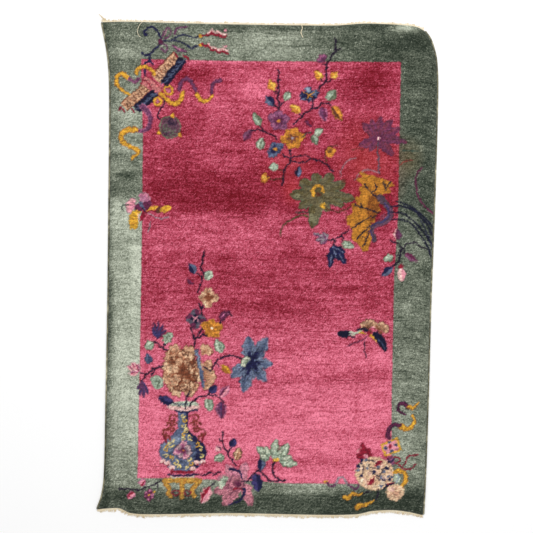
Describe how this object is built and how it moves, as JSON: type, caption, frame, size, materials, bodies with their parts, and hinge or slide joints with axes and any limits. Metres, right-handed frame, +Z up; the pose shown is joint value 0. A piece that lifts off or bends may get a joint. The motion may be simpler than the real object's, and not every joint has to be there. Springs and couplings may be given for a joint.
{
  "type": "rug",
  "caption": "Rectangular hand-knotted wool rug, slightly uneven in outline, with overcast sides and short cotton fringes, lying flat.",
  "frame": {"origin": "on the floor, under the middle of the rug's box", "axes": "+X to the right and +Y to the upper end as seen from above, +Z up out of the pile"},
  "size_m": [1.2692, 1.8754, 0.025],
  "materials": {
    "pile_wool": "matt cut wool pile, rose field with a sage border",
    "selvedge_wool": "overcast wool yarn, grey olive, worn",
    "warp_cotton": "undyed cotton warp ends, aged cream"
  },
  "bodies": {
    "root": {"rug_body": "pile_wool", "selvedge_left": "selvedge_wool", "selvedge_right": "selvedge_wool", "fringe_upper": "warp_cotton", "fringe_lower": "warp_cotton"}
  },
  "joints": []
}
